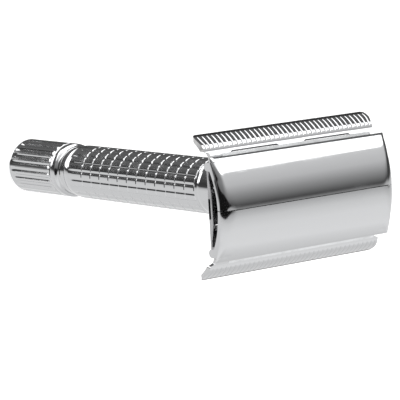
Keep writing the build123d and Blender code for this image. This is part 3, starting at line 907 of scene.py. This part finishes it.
def add_brackets():
    """Cross plates at the head's ends, with a lug at each hinge."""
    low = BRACKET_LOW.z - EDGE
    height = PIVOT.z - EDGE
    half = [(0.0, low), (PIVOT.y - 0.2, low)]
    for turn in spread(-pi / 3, pi, 13):
        half.append((PIVOT.y + LUG_RADIUS * cos(turn), height + LUG_RADIUS * sin(turn)))
    half += [(PIVOT.y - LUG_RADIUS, STRAP_SIDE), (6.2, STRAP_SIDE), (3.0, STRAP_TOP), (0.0, STRAP_TOP)]
    outline = half + [(-y, z) for y, z in reversed(half[1:-1])]
    for side, name in ((-1, "left"), (1, "right")):
        ends = [side * BRACKET_LOW.x, side * BRACKET_HIGH.x]
        points = [(x, y, z + EDGE) for x in ends for y, z in outline]
        count = len(outline)
        faces = [tuple(range(count)), tuple(range(2 * count - 1, count - 1, -1))]
        faces += [(i, (i + 1) % count, (i + 1) % count + count, i + count) for i in range(count)]
        made = piece(name + "_cross_plate", points, faces, "carriage", "inner_steel",
                     [name + "_end_bracket"], 0.1)
        finish_with(made, INNER_STEEL)


def add_rivet_heads():
    """Low domes under the wings, at the four places of the bed rivets."""
    under = EDGE + WING_TOP - GUARD_SHEET
    rise = under - RIVETS_LOW.z
    loop = [(0.0, RIVETS_LOW.z)]
    loop += [(HEAD_RADIUS * sin(turn), under - rise * cos(turn)) for turn in spread(0.15, pi / 2, 8)]
    loop += [(HEAD_RADIUS, under + 0.02), (SHANK_RADIUS, under + 0.02)]
    loop += [(SHANK_RADIUS, RIVETS_HIGH.z), (0.0, RIVETS_HIGH.z)]
    ring, ring_faces = turned(loop, 40)
    centre_x, centre_y = RIVETS_HIGH.x - HEAD_RADIUS, RIVETS_HIGH.y - HEAD_RADIUS
    points, faces = [], []
    for x in (-centre_x, centre_x):
        for y in (-centre_y, centre_y):
            shift = len(points)
            points += [(px + x, py + y, pz) for px, py, pz in ring]
            faces += [tuple(i + shift for i in face) for face in ring_faces]
    made = piece("bed_rivet_set", points, faces, "handle", "inner_steel", ["bed_rivets"], 0.0, 40)
    finish_with(made, INNER_STEEL)


# --- CAD pieces kept as they are --------------------------------------------

def dress_cad_nodes():
    finishes = {
        "front_bed_rail": INNER_STEEL,
        "rear_bed_rail": INNER_STEEL,
        "centre_rail": INNER_STEEL,
        "rail_rivets": INNER_STEEL,
        "lifter_bar": INNER_STEEL,
        "hinge_pins": INNER_STEEL,
        "spindle": TURNED_STEEL,
        "friction_washer": TURNED_STEEL,
        "retaining_clip": TURNED_STEEL,
        "knob_bearing": BRASS,
        "spindle_guide": BRASS,
        "drive_tube": BRASS,
    }
    for node, material in finishes.items():
        finish_with(frame["nodes"][node], material)


# --- Studio -----------------------------------------------------------------

# The razor lies on its back in this studio. Heights are sines over the table it lies on, and the
# other numbers are parts of the unit direction along +X, which is right, and +Z, towards the head.
TABLE_UP = Vector((0.0, 0.996, 0.09))
SOFTBOX_LEAN = 1.73                    # of the softbox's near edge, from +Z towards +X

# Pairs of height and grey, from below the table up, on the head's side and on the knob's.
HEAD_SIDE = (
    (-1.0, 0.85), (-0.77, 0.9), (-0.64, 1.13), (-0.41, 1.09), (-0.24, 0.95), (-0.11, 0.69), (-0.07, 0.56),
    (-0.03, 0.2), (0.0, 0.1), (0.06, 0.2), (0.21, 0.45), (0.37, 0.78), (0.55, 0.93), (1.0, 0.9),
)
KNOB_SIDE = (
    (-1.0, 0.8), (-0.5, 0.95), (-0.2, 0.95), (-0.11, 0.8), (-0.06, 0.4), (-0.03, 0.08), (0.1, 0.06),
    (0.4, 0.12), (0.6, 0.2), (1.0, 0.3),
)


def direction_ramp(tree, height, stops):
    """Grey by height, straight between the stops."""
    shift = tree.nodes.new("ShaderNodeMapRange")
    shift.inputs["From Min"].default_value = -1.0
    tree.links.new(height, shift.inputs["Value"])
    ramp = tree.nodes.new("ShaderNodeValToRGB")
    ramp.color_ramp.interpolation = "LINEAR"
    points = ramp.color_ramp.elements
    while len(points) > 1:
        points.remove(points[-1])
    for index, (stop, grey) in enumerate(stops):
        place = (stop + 1) / 2
        point = points[0] if index == 0 else points.new(place)
        point.position = place
        point.color = (grey, grey, grey, 1)
    tree.links.new(shift.outputs["Result"], ramp.inputs["Fac"])
    return ramp.outputs["Color"]


def add_world():
    """White table, dark horizon and pale wall, with a softbox overhead and the zones round it."""
    world = bpy.data.worlds.new("studio")
    bpy.context.scene.world = world
    world.use_nodes = True
    tree = world.node_tree

    def math(operation, first, second):
        return math_node(tree, operation, first, second)

    def both(first, second):
        return math("MULTIPLY", first, second)

    def fade(value, low, high):
        return range_node(tree, value, low, high)

    direction = tree.nodes.new("ShaderNodeTexCoord").outputs["Generated"]
    dot = tree.nodes.new("ShaderNodeVectorMath")
    dot.operation = "DOT_PRODUCT"
    dot.inputs[1].default_value = TABLE_UP
    tree.links.new(direction, dot.inputs[0])
    height = dot.outputs["Value"]
    split = tree.nodes.new("ShaderNodeSeparateXYZ")
    tree.links.new(direction, split.inputs["Vector"])
    to_right, to_head = split.outputs["X"], split.outputs["Z"]
    slant = math("SUBTRACT", to_head, math("MULTIPLY", to_right, SOFTBOX_LEAN))

    dim_ceiling = both(fade(height, 0.25, 0.5), fade(slant, -0.76, -0.84))
    softbox = both(fade(height, 0.555, 0.575), fade(slant, -0.84, -0.76))
    far_right = both(fade(to_right, 0.84, 0.93), fade(height, -0.12, -0.04))
    leftward = both(fade(to_right, 0.2, -0.5), fade(height, -0.05, 0.1))
    leftward = both(leftward, fade(to_head, 0.0, 0.3))
    above = math("ADD", height, 0.02)
    off_level = math("MAXIMUM", above, math("MULTIPLY", above, -1.7))
    wedge = math("SUBTRACT", both(fade(to_right, 0.4, -0.5), 0.22), off_level)
    black_wedge = both(fade(wedge, -0.01, 0.03), fade(to_head, 0.0, 0.1))
    low_lamp = both(fade(to_head, -0.86, -0.92), fade(height, 0.02, 0.08))
    side_lamp = both(fade(to_head, -0.838, -0.85), fade(height, 0.1, 0.15))
    side_lamp = both(side_lamp, both(fade(height, 0.5, 0.45), fade(to_right, -0.15, -0.2)))
    zones = (
        (dim_ceiling, 0.17),
        (softbox, 2.6),
        (far_right, 0.08),
        (both(leftward, 0.65), 0.1),
        (black_wedge, 0.01),
        (math("MAXIMUM", low_lamp, side_lamp), 3.0),
    )
    knob_side = direction_ramp(tree, height, KNOB_SIDE)
    head_side = direction_ramp(tree, height, HEAD_SIDE)
    lit = mix_node(tree, fade(to_head, -0.25, 0.15), knob_side, head_side)
    for share, grey in zones:
        lit = mix_node(tree, share, lit, (grey, grey, grey, 1))
    background = tree.nodes["Background"]
    tree.links.new(lit, background.inputs["Color"])
    background.inputs["Strength"].default_value = 1.0


FLOOR_REACH = 1.2                      # in metres, like the next two
WALL_CURVE = 0.8
WALL_HEIGHT = 3.0
FLOOR_SIDES = 64


def add_floor():
    """Pale floor that sweeps up into a wall all round, left out of reflections and shadows."""
    section = [(FLOOR_REACH * share, 0.0) for share in (0.25, 0.6, 1.0)]
    for turn in spread(0.2, pi / 2, 8):
        section.append((FLOOR_REACH + WALL_CURVE * sin(turn), WALL_CURVE * (1 - cos(turn))))
    section += [(FLOOR_REACH + WALL_CURVE, WALL_HEIGHT)]
    points = [(0.0, 0.0, 0.0)]
    for r, z in section:
        for step in range(FLOOR_SIDES):
            turn = 2 * pi * step / FLOOR_SIDES
            points.append((r * cos(turn), r * sin(turn), z))
    faces = [(0, 1 + step, 1 + (step + 1) % FLOOR_SIDES) for step in range(FLOOR_SIDES)]
    faces += grid_faces(len(section), FLOOR_SIDES, 1, wrap_columns=True)
    mesh = bpy.data.meshes.new("floor")
    mesh.from_pydata(points, [], faces)
    for face in mesh.polygons:
        face.use_smooth = True
    floor = bpy.data.objects.new("floor", mesh)
    bpy.context.scene.collection.objects.link(floor)
    floor.visible_glossy = False
    floor.visible_diffuse = False
    floor.visible_shadow = False
    material = bpy.data.materials.new("pale_floor")
    material.use_nodes = True
    shader = material.node_tree.nodes["Principled BSDF"]
    shader.inputs["Base Color"].default_value = (0.85, 0.85, 0.85, 1)
    shader.inputs["Roughness"].default_value = 0.9
    shader.inputs["Specular IOR Level"].default_value = 0.0
    shader.inputs["Emission Color"].default_value = (1, 1, 1, 1)
    shader.inputs["Emission Strength"].default_value = 0.55
    mesh.materials.append(material)


CAMERA_PLACE = Vector((-0.32496, 0.07187, 0.50347))
CAMERA_RIGHT = Vector((0.7980, -0.0583, 0.5998))
CAMERA_UP = Vector((0.1281, 0.9890, -0.0743))


def add_camera():
    camera = bpy.data.objects.new("camera", bpy.data.cameras.new("camera"))
    bpy.context.scene.collection.objects.link(camera)
    right = CAMERA_RIGHT.normalized()
    back = right.cross(CAMERA_UP).normalized()
    turn = Matrix((right, back.cross(right), back)).transposed()
    camera.matrix_world = Matrix.Translation(CAMERA_PLACE) @ turn.to_4x4()
    camera.data.sensor_width = 36.0
    camera.data.lens = 238.2
    camera.data.clip_start = 0.01
    camera.data.clip_end = 20.0
    bpy.context.scene.camera = camera
    bpy.context.scene.view_settings.view_transform = "Standard"


add_camera()
add_world()
add_floor()
add_doors()
add_guard()
add_handle()
add_knob()
add_blade()
add_brackets()
add_rivet_heads()
dress_cad_nodes()
